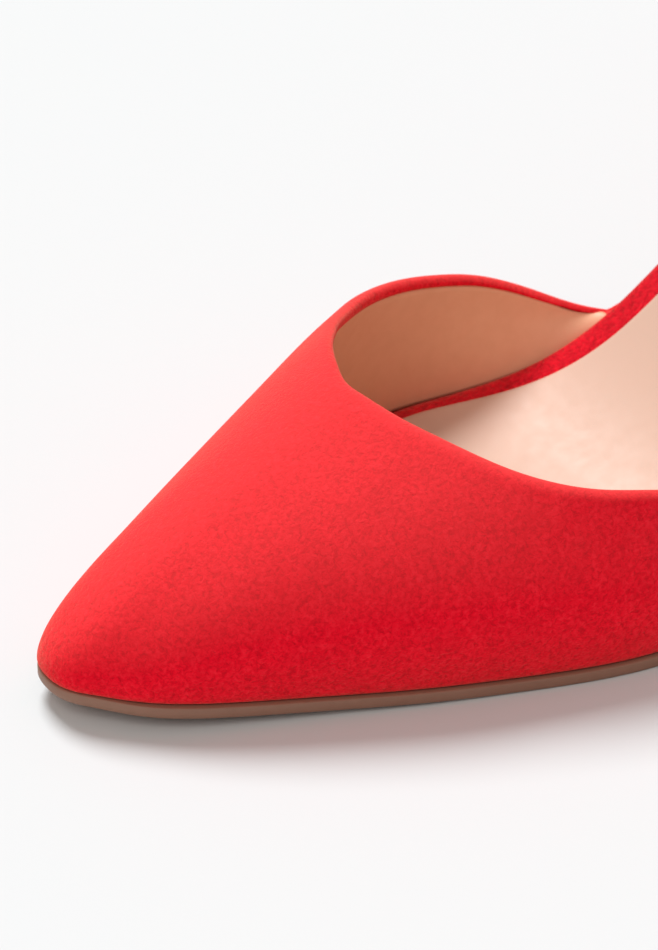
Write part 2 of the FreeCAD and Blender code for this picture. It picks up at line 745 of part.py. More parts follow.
# ---------------------------------------------------------------- heel
HEEL_SECTIONS = [  # z, back dist, breast dist, half width
    (5.0, 223.1, 212.4, 5.3), (10, 223.0, 212.2, 5.3), (17, 223.0, 211.9, 5.5),
    (25, 223.5, 211.3, 6.0), (33, 224.5, 210.2, 6.9), (41, 226.3, 208.0, 8.3),
    (48, 228.4, 204.8, 10.3), (54, 230.6, 201.0, 12.8), (60, 233.0, 196.6, 15.8)]
heel_section = point_spline([s[0] for s in HEEL_SECTIONS], [s[1:] for s in HEEL_SECTIONS])
SEAT_BREAST, SEAT_BACK = 187.0, 241
CENTRE_SHARE = 0.36  # centre of a section, from its breast towards its back
RING_POINTS = 40
STEM_HEIGHTS = [5.0, 8, 12, 17, 23, 29, 35, 41, 46]
STEM_TOP = 50.0
LIFT_HGT = DIM["lift_hgt"]


def ring_directions():
    angles = [2 * math.pi * i / RING_POINTS - math.pi / 2 for i in range(RING_POINTS)]
    return [(math.cos(angle), math.sin(angle)) for angle in angles]


def stem_ring(z, margin):
    """D-shaped horizontal section of the heel stem, inset by margin."""
    back, breast, width = heel_section(z)
    back, breast, width = back - margin, breast + margin, width - margin
    centre = lerp(breast, back, CENTRE_SHARE)
    ring = []
    for cos, sin in ring_directions():
        if sin >= 0:
            x, dist = width * cos, centre + (back - centre) * sin
        else:
            x = width * math.copysign(abs(cos) ** 0.72, cos)
            dist = centre - (centre - breast) * abs(sin) ** 0.55
        ring.append((x, dist, z))
    return ring


def seat_ring(margin):
    """Outline of the heel seat with a straight breast, on the feather plane.

    Its points lie on rays from the centre, so that they pair with those of the stem rings.
    """
    points = []
    for i in range(401):
        x, dist = outside(outline(HEEL_ARC - 100 + i * 0.5), WALL - 0.15 - margin)
        if dist >= SEAT_BREAST + margin:
            points.append((x, dist))
    centre = lerp(SEAT_BREAST, SEAT_BACK, CENTRE_SHARE)
    ring = []
    for cos, sin in ring_directions():
        reach = None  # farthest crossing of the ray with the outline
        for (x0, dist0), (x1, dist1) in zip(points, points[1:] + points[:1]):
            edge_x, edge_y = x1 - x0, dist1 - dist0
            det = cos * -edge_y + edge_x * sin
            if abs(det) < 1e-12:
                continue
            from_centre = dist0 - centre
            ray = (x0 * -edge_y + edge_x * from_centre) / det
            share = (cos * from_centre - sin * x0) / det
            if ray > 0 and -1e-9 <= share <= 1 + 1e-9 and (reach is None or ray > reach):
                reach = ray
        x, dist = reach * cos, centre + reach * sin
        ring.append((x, dist, feather_z(dist)))
    return ring


def heel_form(margin):
    """Heel from the top lift up past the seat, inset by margin."""
    rings = [stem_ring(z, margin) for z in STEM_HEIGHTS]
    stem, seat = stem_ring(STEM_TOP, margin), seat_ring(margin)
    for frac in (0.0, 0.22, 0.42, 0.60, 0.78, 0.92):
        flare = frac ** 1.2
        rings.append([(lerp(a[0], b[0], flare), lerp(a[1], b[1], flare), lerp(a[2], b[2], frac))
                      for a, b in zip(stem, seat)])
    rings.append(seat)
    for raised in (6, 12):
        rings.append([(x, dist, z + raised) for x, dist, z in seat])
    rings.append([(x, dist, 100.0) for x, dist, z in seat])

    grid = [[in_frame(point) for point in ring] for ring in rings]
    knots, mults = clamped_knots(len(grid), 3)
    ring_knots, ring_mults = list(range(RING_POINTS + 1)), [1] * (RING_POINTS + 1)
    side = Part.BSplineSurface()
    side.buildFromPolesMultsKnots(grid, mults, ring_mults, knots, ring_knots, False, True, 3, 3)
    faces = [side.toShape()]
    for poles in (grid[0], grid[-1]):
        curve = Part.BSplineCurve()
        curve.buildFromPolesMultsKnots(poles, ring_mults, ring_knots, True, 3)
        faces.append(Part.Face(Part.Wire(curve.toShape())))
    return solid_from(faces)


def below_seat():
    """Space just under the feather plane, from dist 160 to 260."""
    x, bottom = -60, -5
    top = [in_frame((x, dist, feather_z(dist) - 0.02)) for dist in even(160, 260, 61)]
    curve = Part.BSplineCurve()
    curve.buildFromPoles(top, False, 3)
    front, back = top[0], top[-1]
    front_low, back_low = Vector(x, front.y, bottom), Vector(x, back.y, bottom)
    edges = [curve.toShape(), Part.makeLine(back, back_low),
             Part.makeLine(back_low, front_low), Part.makeLine(front_low, front)]
    return Part.Face(Part.Wire(Part.__sortEdges__(edges))).extrude(Vector(-2 * x, 0, 0))


seat_space = feature("seat_space", below_seat())
outer_form = feature("heel_form", heel_form(0.0))
core_form = feature("heel_core_form", heel_form(DIM["cover_thk"]))
heel_whole = boolean("Common", "heel_whole", outer_form, seat_space)
heel_core = boolean("Common", "heel_core", core_form, seat_space)

PIN_Z = 2.0
PIN_RADIUS, TUBE_RADIUS = DIM["pin_dia"] / 2, DIM["tube_dia"] / 2
lift_poles = [Vector(x, dist - HEEL_DIST, 0) for x, dist, _ in stem_ring(LIFT_HGT, 0.0)]
lift_body = padded("top_lift", "Dims.lift_hgt - 0.02", 0, poles=lift_poles)
parts["top_lift_pin"] = padded(
    "top_lift_pin", "Dims.pin_len", PIN_Z, circles=[(PIN_RADIUS, "Dims.pin_dia / 2")])
parts["heel_dowel_tube"] = padded(
    "heel_dowel_tube", "Dims.tube_len", 6.5,
    circles=[(TUBE_RADIUS, "Dims.tube_dia / 2"), (PIN_RADIUS + 0.03, "Dims.pin_dia / 2 + 0.03")])

dowel_hole = cylinder("dowel_hole", "Dims.tube_dia / 2", DIM["tube_len"] + 1.6,
                      Placement(Vector(0, 0, LIFT_HGT - 0.05), Rotation()))
heel_tools = fuse("heel_tools", [dowel_hole] + seat_holes)
parts["heel_block"] = boolean("Cut", "heel_block", heel_core, heel_tools)
parts["heel_cover"] = boolean("Cut", "heel_cover", heel_whole, heel_core)
pin_hole = cylinder("pin_hole", "Dims.pin_dia / 2", 10,
                    Placement(Vector(0, 0, PIN_Z), Rotation()))
parts["top_lift"] = boolean("Cut", "top_lift_cut", lift_body, pin_hole)


# ---------------------------------------------------------------- drilled insole board
def drill(name, source, tools):
    """Cuts round tools out one after another.

    A tool whose seam line spoils the cut is turned about its own axis.
    """
    doc.recompute()
    for i, tool in enumerate(tools):
        cut_name = name if i == len(tools) - 1 else "%s_cut_%d" % (name, i)
        result = boolean("Cut", cut_name, source, tool)
        volume, faces, place = source.Shape.Volume, len(source.Shape.Faces), tool.Placement
        for spin in (0, 25, 50, 80, 115, 150, 200, 260):
            turned = Placement(Vector(), Rotation(Vector(0, 0, 1), spin))
            tool.Placement = place.multiply(turned)
            doc.recompute()
            shape = result.Shape
            if (not shape.isNull() and shape.isValid() and len(shape.Solids) == 1
                    and len(shape.Faces) == faces + 1
                    and abs(shape.Volume / volume - 1) < 0.02):
                break
        else:
            raise RuntimeError("%s: hole %d can't be cut" % (name, i))
        source = result
    return source


parts["insole_board"] = drill("insole_board", board_blank, seat_holes + rivet_holes)

# ---------------------------------------------------------------- upper
# Depths of the layers' faces below the outer face of the wall
STIFF_OUT = UPPER + DIM["layer_gap"]
STIFF_IN = STIFF_OUT + DIM["stiff_thk"]
LINING_OUT = STIFF_IN + DIM["layer_gap"]
LINING_IN = LINING_OUT + DIM["lining_thk"]
COLUMN_RISES = [0.0, 0.07, 0.15, 0.25, 0.36, 0.48, 0.60, 0.72, 0.83, 0.91, 0.96, 0.99]


def wing_share(run):
    """0 along the wall, rising to 1 at its two ends."""
    return smooth(0.9, 1.0, abs(run))


def shift(rise, run):
    """Depth of the outer face: 0 at the foot, outwards at the rim to centre it on the topline."""
    return -lerp(1.2, 0.5, wing_share(run)) * smooth(0.0, 0.7, rise)


def upper_columns(wall, run, margin, fold):
    """Outer and inner pole columns at one run: lasting margin, wall, edge turned down to fold."""
    surface, foot_at, _ = wall
    end = wing_share(run)
    turn_out = lerp(LINING_OUT, UPPER + 0.06, end)
    turn_in = lerp(LINING_IN, UPPER + 0.2, end)
    outer, inner = [], []
    foot = foot_at(run)
    for amount in (-margin, -margin * 0.6, -margin * 0.2, 0.9 * lerp(1.0, 0.4, end)):
        x, dist = outside(foot, amount)
        z = feather_z(dist) + FOOT_GAP
        outer.append([x, dist, z])
        inner.append([x, dist, z + UPPER])
    for rise in COLUMN_RISES:
        depth = shift(rise, run)
        outer.append(inset(wall, run, rise, depth))
        point = inset(wall, run, rise * (fold - 0.02) / COLUMN_RISES[-1], depth + UPPER)
        if rise == 0.0:
            point[2] = feather_z(point[1]) + FOOT_GAP + UPPER
        inner.append(point)
    top, below = surface(run, 1.0), surface(run, 0.96)
    up = unit([top[k] - below[k] for k in range(3)])
    rim = shift(1.0, run)
    outer.append(moved(inset(wall, run, 1.0, rim + turn_in * 0.5), up, 0.9))
    outer.append(moved(inset(wall, run, 1.0, rim + turn_in), up, -0.1))
    for rise in ((1 + fold) / 2, fold):
        outer.append(inset(wall, run, rise, rim + turn_in))
    for rise, depth in ((fold - 0.005, UPPER + 0.15), (fold, (UPPER + turn_out) / 2),
                        (fold + 0.004, turn_out - 0.15), (fold + 0.004, turn_out)):
        inner.append(inset(wall, run, rise, rim + depth))
    return [in_frame(point) for point in outer], [in_frame(point) for point in inner]


def upper_sheet(wall, runs, margin, fold):
    """Folded sheet of upper material; margin(run) is the lasting margin under the insole."""
    columns = [upper_columns(wall, run, margin(run), fold) for run in runs]
    return slab([outer for outer, _ in columns], [inner for _, inner in columns])


def layer(wall, depths, reach, rises, counts):
    """Layer inside the wall from run -reach to reach; counts are the poles along and up."""
    def grid(depth):
        return [[in_frame(inset(wall, run, rise, shift(rise, run) + depth))
                 for rise in even(*rises, counts[1])] for run in even(-reach, reach, counts[0])]

    return slab(grid(depths[0]), grid(depths[1]))


def vamp_margin(run):
    size = abs(run)
    return lerp(5.2, 7.6, smooth(0.02, 0.2, size)) - 2.5 * smooth(0.85, 1.0, size)


def quarter_margin(run):
    return 6.0


SEAM = 0.0012  # half gap of the back seam, as a run
vamp_runs = [math.copysign(abs(run) ** 1.25, run) for run in even(-1, 1, 91)]
add_part("vamp_outer", upper_sheet(VAMP, vamp_runs, vamp_margin, fold=0.945))
for side, start, stop in (("lateral", SEAM, 1.0), ("medial", -1.0, -SEAM)):
    add_part("quarter_outer_" + side,
             upper_sheet(QUARTER, even(start, stop, 41), quarter_margin, fold=0.97))

LINING, STIFFENER = (LINING_OUT, LINING_IN), (STIFF_OUT, STIFF_IN)
LAYERS = [  # name, wall, depths, reach, rises, pole counts
    ("vamp_lining", VAMP, LINING, 0.9, (0.10, 0.925), (71, 14)),
    ("toe_puff", VAMP, STIFFENER, 0.46, (0.10, 0.60), (61, 12)),
    ("vamp_topline_tape", VAMP, STIFFENER, 0.89, (0.85, 0.915), (61, 4)),
    ("quarter_lining", QUARTER, LINING, 0.9, (0.10, 0.955), (61, 14)),
    ("heel_counter", QUARTER, STIFFENER, 0.86, (0.04, 0.70), (81, 14)),
    ("quarter_topline_tape", QUARTER, STIFFENER, 0.9, (0.91, 0.942), (61, 4)),
]
for name, *settings in LAYERS:
    add_part(name, layer(*settings))

# ---------------------------------------------------------------- checks and export
doc.recompute()
os.makedirs("parts", exist_ok=True)
for item in doc.Objects:
    bad = [state for state in item.State if state in ("Invalid", "Error")]
    if bad:
        raise RuntimeError("%s is %s" % (item.Name, bad))
for name, item in parts.items():
    item.Label = name
    shape = item.Shape
    if shape.isNull() or not shape.isValid():
        raise RuntimeError(name + " has no valid shape")
    if not shape.Solids:
        raise RuntimeError(name + " has no solid")
    shape.exportStep(os.path.join("parts", name + ".step"))
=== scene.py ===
"""High-heel pump: detailed meshes of the visible pieces, materials, floor, light and camera.

Shapes are worked out in millimetres: x is positive on the lateral side and negative on the medial
side, y runs back from the toe tip, z is up from the ground. new_mesh() moves the frame's origin to
y = ORIGIN_Y under the heel and scales to metres, so that the toe points to -Y.
"""
import math
from bisect import bisect_right
from collections import namedtuple

import bmesh
import bpy
import numpy as np
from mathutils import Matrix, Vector


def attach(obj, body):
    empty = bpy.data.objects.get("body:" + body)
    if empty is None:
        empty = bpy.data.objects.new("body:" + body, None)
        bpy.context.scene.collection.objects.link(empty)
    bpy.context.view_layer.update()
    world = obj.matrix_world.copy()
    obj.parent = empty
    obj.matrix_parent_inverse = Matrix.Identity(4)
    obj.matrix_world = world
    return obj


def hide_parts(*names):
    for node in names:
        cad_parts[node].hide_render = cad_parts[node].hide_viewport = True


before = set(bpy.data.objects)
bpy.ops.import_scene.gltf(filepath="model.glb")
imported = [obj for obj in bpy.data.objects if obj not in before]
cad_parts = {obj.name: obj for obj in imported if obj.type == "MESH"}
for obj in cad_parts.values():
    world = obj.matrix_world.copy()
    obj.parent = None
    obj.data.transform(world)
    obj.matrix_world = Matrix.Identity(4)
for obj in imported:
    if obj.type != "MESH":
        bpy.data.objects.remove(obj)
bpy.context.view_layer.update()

MM = 0.001
ORIGIN_Y = 217.7

LENGTH = 240.0              # insole, toe tip to heel back
BALL_Y = 83.0               # lowest point of the feather surface
TOE_SPRING = 3.7            # rise of the toe tip over the ball
SOLE_THICK = 2.0
SHANK_SLOPE, SHANK_BLEND = 0.835, 55.2
SEAT_Y, SEAT_BLEND, SEAT_SLOPE = 170.0, 52.0, 0.20

UPPER, STIFFENER, LINING, GAP = 1.0, 0.7, 0.7, 0.05
LINING_FACE = UPPER + GAP + STIFFENER + GAP     # depth of the lining under the outer surface
WALL = LINING_FACE + LINING
WALL_OFFSET = WALL + 0.05   # outer surface beyond the insole outline
CLEAR = 0.03                # upper over the feather surface

# Heights over the feather surface, and the width of the band round the insole.
BAND_LOW, BAND_HIGH, BAND_WIDTH = 1.15, 3.80, 4.2
BOARD_TOP, SOCK = 3.30, 0.80


# ------------------------------------------------------------------ curve helpers
def lerp(a, b, t):
    return a + (b - a) * t


def smooth(start, end, t):
    u = min(1.0, max(0.0, (t - start) / (end - start)))
    return u * u * (3 - 2 * u)


def spline(keys, values):
    """Natural cubic spline through scalar values."""
    n = len(keys)
    step = [keys[i + 1] - keys[i] for i in range(n - 1)]
    below, diagonal, above, right = [0.0] * n, [1.0] * n, [0.0] * n, [0.0] * n
    for i in range(1, n - 1):
        below[i], diagonal[i], above[i] = step[i - 1], 2 * (step[i - 1] + step[i]), step[i]
        right[i] = 6 * ((values[i + 1] - values[i]) / step[i]
                        - (values[i] - values[i - 1]) / step[i - 1])
    for i in range(1, n):
        w = below[i] / diagonal[i - 1]
        diagonal[i] -= w * above[i - 1]
        right[i] -= w * right[i - 1]
    bend = [0.0] * n
    bend[-1] = right[-1] / diagonal[-1]
    for i in range(n - 2, -1, -1):
        bend[i] = (right[i] - above[i] * bend[i + 1]) / diagonal[i]

    def value(t):
        i = 0
        while i < n - 2 and t > keys[i + 1]:
            i += 1
        h = step[i]
        u, v = (keys[i + 1] - t) / h, (t - keys[i]) / h
        cubic = (u ** 3 - u) * bend[i] + (v ** 3 - v) * bend[i + 1]
        return u * values[i] + v * values[i + 1] + cubic * h * h / 6

    return value


def point_spline(keys, points):
    parts = [spline(keys, axis) for axis in zip(*points)]
    return lambda t: [part(t) for part in parts]


def two_sided(keys, lateral, medial=None):
    """Keys -1 to 1 and their values, from lists that run from 0 to 1; medial takes the minus side."""
    medial = medial or lateral
    return [-k for k in keys[:0:-1]] + keys, medial[:0:-1] + lateral


def flip_x(points):
    return [(-x, y, z) for x, y, z in points]


def negative(values):
    return [-value for value in values]


def distances(points):
    """Running length along a plan polyline."""
    total = [0.0]
    for a, b in zip(points, points[1:]):
        total.append(total[-1] + math.hypot(b[0] - a[0], b[1] - a[1]))
    return total


# ------------------------------------------------------------------ feather surface: side profile
def feather_slope(y):
    if y < BALL_Y:
        return -2 * TOE_SPRING * (1 - y / BALL_Y) / BALL_Y
    slope = SHANK_SLOPE * smooth(0, 1, (y - BALL_Y) / SHANK_BLEND)
    if y > SEAT_Y:
        slope += (SEAT_SLOPE - SHANK_SLOPE) * smooth(0, 1, (y - SEAT_Y) / SEAT_BLEND)
    return slope


PROFILE_STEPS, PROFILE_END = 520, LENGTH * 1.04
PROFILE_Z = [SOLE_THICK + TOE_SPRING]
for i in range(1, PROFILE_STEPS + 1):
    # Simpson's rule over each step
    a, b = PROFILE_END * (i - 1) / PROFILE_STEPS, PROFILE_END * i / PROFILE_STEPS
    total = feather_slope(a) + 4 * feather_slope((a + b) / 2) + feather_slope(b)
    PROFILE_Z.append(PROFILE_Z[-1] + total * (b - a) / 6)


def feather_z(y):
    if y <= 0:
        return PROFILE_Z[0] + feather_slope(0) * y
    q = min(y, PROFILE_END - 1e-6) / PROFILE_END * PROFILE_STEPS
    i = int(q)
    return lerp(PROFILE_Z[i], PROFILE_Z[i + 1], q - i)


LEVEL_Y = np.linspace(-12, PROFILE_END - 0.01, 1400)
LEVEL_Z = np.array([feather_z(y) for y in LEVEL_Y])
LEVEL_SLOPE = np.array([feather_slope(y) for y in LEVEL_Y])
LEVEL_STRETCH = np.sqrt(1 + LEVEL_SLOPE ** 2)


def level_z(y, height):
    """z of the surface that lies height off the feather surface, measured square to it."""
    return np.interp(y, LEVEL_Y - LEVEL_SLOPE / LEVEL_STRETCH * height,
                     LEVEL_Z + height / LEVEL_STRETCH)


# ------------------------------------------------------------------ insole outline in plan
# (x, y), each side from the toe back
LATERAL_EDGE = [
    (0, 3.55), (3.7, 4.3), (6.5, 6.9), (11.0, 12.2), (17.29, 24.51), (22.41, 37.85), (27.87, 52),
    (33.03, 67.5), (37.36, 83), (38.6, 93), (37.6, 106), (34.0, 120), (29.4, 134), (25.6, 149),
    (23.9, 165), (24.0, 181), (24.4, 197), (23.2, 212), (18.6, 226), (10.4, 235.4)]
MEDIAL_EDGE = [
    (-2.5, 4.1), (-4.2, 6.7), (-7.0, 12.2), (-12.1, 24.51), (-18.1, 37.85), (-24.3, 52),
    (-31.0, 67.5), (-34.1, 79), (-35.2, 88), (-34.0, 97), (-31.2, 106), (-28.2, 115),
    (-26.2, 124), (-25.2, 134), (-24.2, 147), (-23.6, 163), (-24.0, 180), (-24.2, 197),
    (-22.8, 212), (-18.2, 226), (-10.2, 235.4)]
OUTLINE_STEPS = 1000
OVERLAP = 5                 # points repeated at each end, to close the spline smoothly


def sample_outline():
    ring = LATERAL_EDGE + [(0, LENGTH - 1.0)] + MEDIAL_EDGE[::-1]
    points = ring[-OVERLAP:] + ring + ring[:OVERLAP]
    keys = distances(points)
    curve = point_spline(keys, points)
    first, last = keys[OVERLAP], keys[OVERLAP + len(ring)]
    return [curve(lerp(first, last, i / OUTLINE_STEPS)) for i in range(OUTLINE_STEPS + 1)]


OUTLINE = sample_outline()
OUTLINE_ARC = distances(OUTLINE)
OUTLINE_LENGTH = OUTLINE_ARC[-1]
HEEL_ARC = OUTLINE_ARC[max(range(OUTLINE_STEPS + 1), key=lambda i: OUTLINE[i][1])]


def outline_point(arc):
    arc = arc % OUTLINE_LENGTH
    i = min(OUTLINE_STEPS - 1, bisect_right(OUTLINE_ARC, arc) - 1)
    u = (arc - OUTLINE_ARC[i]) / max(1e-9, OUTLINE_ARC[i + 1] - OUTLINE_ARC[i])
    return lerp(OUTLINE[i][0], OUTLINE[i + 1][0], u), lerp(OUTLINE[i][1], OUTLINE[i + 1][1], u)


def outline(arc):
    """Outline point and outward normal, by length from the toe tip, positive on the lateral side."""
    a, b = outline_point(arc - 0.8), outline_point(arc + 0.8)
    dx, dy = b[0] - a[0], b[1] - a[1]
    size = math.hypot(dx, dy)
    return outline_point(arc), (dy / size, -dx / size)


# ------------------------------------------------------------------ vamp wall: feather to topline
# A wall section at s is a Bezier curve of four points (foot, low handle, high handle, top).
# The vamp's s runs from -1 (medial wing end) by 0 (toe tip) to 1 (lateral wing end).
VAMP_KEYS = [0, .08, .16, .24, .32, .40, .48, .55, .62, .68, .74, .80, .85, .90, .94, .97, 1.0]
# Topline (x, y, z) at each key
LATERAL_TOPLINE = [
    (0, 57.3, 41.0), (4, 57.9, 40.7), (8, 58.9, 40.1), (12, 60.6, 39.2), (16, 63, 37.9),
    (20, 65.8, 36.4), (24, 69.5, 34.6), (27.2, 73, 33.3), (30.3, 77.2, 32.1), (32.7, 82, 31),
    (34.4, 88.2, 29.7), (35.4, 96, 27.6), (35.5, 104, 25), (34.8, 112, 21.8), (34.3, 117.9, 19.7),
    (33.4, 123.8, 18.5), (31.9, 130.6, 19.6)]
MEDIAL_TOPLINE = LATERAL_TOPLINE[:14] + [
    (33.0, 117.6, 19.7), (30.6, 122.8, 17.9), (27.8, 128.3, 16.7)]
# Outline length from the toe tip to the section's foot at each key
LATERAL_ARC = [0, 5, 12, 21, 32, 44, 56.5, 68, 80, 90.5, 99.5, 107.5, 115, 121.5, 128.0, 133.8,
               140.8]
MEDIAL_ARC = LATERAL_ARC[:10] + [98.5, 106.0, 113, 119.3, 125.3, 130.4, 136.0]
# Direction of the high handle, seen from the topline
DIRECTION_KEYS = [0, .16, .32, .48, .62, .74, .85, 1.0]
DIRECTIONS = [(0, -1, -.42), (.22, -.97, -.45), (.42, -.85, -.55), (.52, -.62, -.75),
              (.42, -.36, -1), (.26, -.14, -1), (.12, -.02, -1), (.0, 0, -1)]
# Handle lengths, and how far the low handle bulges outwards
HANDLE_KEYS = [0, .16, .32, .48, .62, .74, .85, .94, 1.0]
LATERAL_HIGH = [22, 22, 21, 18, 14, 10, 8, 4, .4]
MEDIAL_HIGH = [21, 12.4, 8.6, 6.4, 5.6, 5.2, 4.8, 3, .4]
LATERAL_LOW = [11, 11.5, 12, 12, 11, 9, 7, 3.0, .4]
MEDIAL_LOW = [11, 9.6, 9.2, 9.0, 8.6, 7.4, 6, 3.0, .4]
BULGE = [1.3, 1.8, 2.4, 2.8, 2.5, 2.0, 1.4, .6, 0]
WING_DROP = 1.1             # medial wing end drawn down beside the insole margin


def topline_point(key, point, medial):
    """Topline key moved towards the toe near the throat, with the medial rim above the lateral."""
    x, y, z = point
    middle = smooth(0.0, 0.25, key) * (1 - smooth(0.85, 1.0, key))
    if medial:
        z += 1.45 * middle + 0.5 * (smooth(0.0, 0.1, key) - middle) * (key < 0.5)
        x = -x
    else:
        z -= 0.60 * middle
    y -= (1.3 + 0.6 * (1 - smooth(0.0, 0.2, key))) * (1 - smooth(0.05, 0.45, key))
    return x, y, z


vamp_top = point_spline(*two_sided(
    VAMP_KEYS,
    [topline_point(k, p, False) for k, p in zip(VAMP_KEYS, LATERAL_TOPLINE)],
    [topline_point(k, p, True) for k, p in zip(VAMP_KEYS, MEDIAL_TOPLINE)]))
vamp_arc = spline(*two_sided(VAMP_KEYS, LATERAL_ARC, negative(MEDIAL_ARC)))
vamp_direction = point_spline(*two_sided(DIRECTION_KEYS, DIRECTIONS, flip_x(DIRECTIONS)))
vamp_high = spline(*two_sided(HANDLE_KEYS, LATERAL_HIGH, MEDIAL_HIGH))
vamp_low = spline(*two_sided(HANDLE_KEYS, LATERAL_LOW, MEDIAL_LOW))
vamp_bulge = spline(*two_sided(HANDLE_KEYS, BULGE))


def vamp_foot(s):
    return outline(vamp_arc(s))


def vamp_section(s):
    (x, y), (nx, ny) = vamp_foot(s)
    offset = lerp(WALL_OFFSET, 1.3, smooth(0.9, 1.0, abs(s)))
    x, y = x + nx * offset, y + ny * offset
    z = feather_z(y) + CLEAR
    top = vamp_top(s)
    if abs(s) > 0.95:
        top[2] = max(top[2], feather_z(top[1]) + (2.0 if s > 0 else 1.0))
    direction = vamp_direction(s)
    size = math.sqrt(sum(k * k for k in direction))
    bulge = vamp_bulge(s)
    low = [x + nx * bulge, y + ny * bulge, z + vamp_low(s)]
    high = [t + k / size * vamp_high(s) for t, k in zip(top, direction)]
    drop = min(WING_DROP * smooth(-0.82, -0.97, s), max(0.0, top[2] - feather_z(top[1]) - 0.45))
    top[2] -= drop
    high[2] -= drop
    return np.array([[x, y, z], low, high, top])


# ------------------------------------------------------------------ quarter wall: heel cup
# s runs from -1 (medial) by 0 (back seam) to 1 (lateral).
QUARTER_KEYS = [0, .15, .30, .42, .52, .62, .72, .80, .87, .93, .97, 1.0]
QUARTER_TOPLINE = [         # (x, y, z) at each key
    (0, 236.6, 134.5), (6.6, 235.4, 134.2), (12.4, 231.2, 132.8), (16.4, 225.0, 130.0),
    (19.0, 218, 125.4), (21.0, 210, 118.6), (22.6, 201.8, 109.2), (23.8, 194.4, 98.6),
    (24.9, 187.0, 86.6), (25.9, 179.6, 74.6), (26.3, 173.6, 64.2), (26.4, 167.0, 50.2)]
# Outline length from the back seam to the section's foot at each key
QUARTER_ARC = [0, 10, 20, 29, 38, 48, 58, 66, 72.5, 78, 81.5, 84]
quarter_top = point_spline(*two_sided(QUARTER_KEYS, QUARTER_TOPLINE, flip_x(QUARTER_TOPLINE)))
quarter_arc = spline(*two_sided(QUARTER_KEYS, QUARTER_ARC, negative(QUARTER_ARC)))
quarter_bulge = spline(*two_sided([0, .3, .6, .85, 1.0], [3.2, 3.2, 2.6, 1.2, 0.0]))


def quarter_foot(s):
    return outline(HEEL_ARC - quarter_arc(s))


def quarter_section(s):
    (x, y), (nx, ny) = quarter_foot(s)
    x, y = x + nx * WALL_OFFSET, y + ny * WALL_OFFSET
    z = feather_z(y) + CLEAR
    top = quarter_top(s)
    top[2] = max(top[2], feather_z(top[1]) + 1.6)
    rise = top[2] - z
    bulge = quarter_bulge(s)
    low = [x + nx * bulge, y + ny * bulge, z + 0.36 * rise]
    high = [lerp(top[0], x, 0.12) + nx * bulge * 0.7, lerp(top[1], y, 0.12) + ny * bulge * 0.7,
            top[2] - 0.34 * rise]
    return np.array([[x, y, z], low, high, top])


# inward: sign that turns the section's cross product towards the foot
Wall = namedtuple("Wall", "section foot inward")
VAMP = Wall(vamp_section, vamp_foot, -1)
QUARTER = Wall(quarter_section, quarter_foot, 1)


# ------------------------------------------------------------------ mesh helpers
def add_object(name, data):
    ob = bpy.data.objects.new(name, data)
    bpy.context.scene.collection.objects.link(ob)
    return ob


def new_mesh(name, points, faces):
    """Smooth object with outward normals, from points in mm and lists of corners."""
    points = points.reshape(-1, 3).copy()
    points[:, 1] -= ORIGIN_Y
    points *= MM
    mesh = bpy.data.meshes.new(name)
    mesh.from_pydata(points.tolist(), [], faces)
    mesh.polygons.foreach_set("use_smooth", [True] * len(mesh.polygons))
    mesh.update()
    mesh.validate()
    bm = bmesh.new()
    bm.from_mesh(mesh)
    bmesh.ops.recalc_face_normals(bm, faces=bm.faces)
    bm.to_mesh(mesh)
    bm.free()
    return add_object(name, mesh)


def loop_faces(loops, count, closed=False):
    """Quads between neighbouring loops of count points; closed also joins the last to the first."""
    i, j = np.meshgrid(np.arange(loops if closed else loops - 1), np.arange(count), indexing="ij")
    here, there = i * count, (i + 1) % loops * count
    after = (j + 1) % count
    return np.stack([here + j, here + after, there + after, there + j], -1).reshape(-1, 4)


def without_repeats(faces):
    """Quads with a repeated corner become triangles."""
    kept = []
    for face in faces.tolist():
        corners = []
        for corner in face:
            if not corners or corner != corners[-1]:
                corners.append(corner)
        if len(corners) > 1 and corners[0] == corners[-1]:
            corners.pop()
        if len(corners) >= 3:
            kept.append(corners)
    return kept


# ------------------------------------------------------------------ wall sheets
# Heights at which the outer leather follows a section, as Bezier parameters
WALL_V = np.array([0.0, 0.06, 0.13, 0.21, 0.30, 0.39, 0.48, 0.57, 0.66, 0.75, 0.83, 0.90, 0.955,
                   0.99])


def spline_basis(poles, samples):
    """Clamped uniform cubic B-spline basis, samples by poles."""
    knots = np.array([0.0] * 4 + list(range(1, poles - 3)) + [poles - 3.0] * 4)
    t = np.clip(np.linspace(0, 1, samples) * (poles - 3), 0, poles - 3 - 1e-9)
    weights = np.zeros((samples, len(knots) - 1))
    for i in range(len(knots) - 1):
        weights[:, i] = (t >= knots[i]) & (t < knots[i + 1])
    for degree in range(1, 4):
        raised = np.zeros((samples, len(knots) - 1 - degree))
        for i in range(len(knots) - 1 - degree):
            a, b = knots[i + degree] - knots[i], knots[i + degree + 1] - knots[i + 1]
            if a > 0:
                raised[:, i] += (t - knots[i]) / a * weights[:, i]
            if b > 0:
                raised[:, i] += (knots[i + degree + 1] - t) / b * weights[:, i + 1]
        weights = raised
    return weights


def bezier(c, v):
    v = v[:, None]
    w = 1 - v
    return w ** 3 * c[0] + 3 * w * w * v * c[1] + 3 * w * v * v * c[2] + v ** 3 * c[3]


def bezier_tangent(c, v):
    v = v[:, None]
    w = 1 - v
    return 3 * (w * w * (c[1] - c[0]) + 2 * w * v * (c[2] - c[1]) + v * v * (c[3] - c[2]))


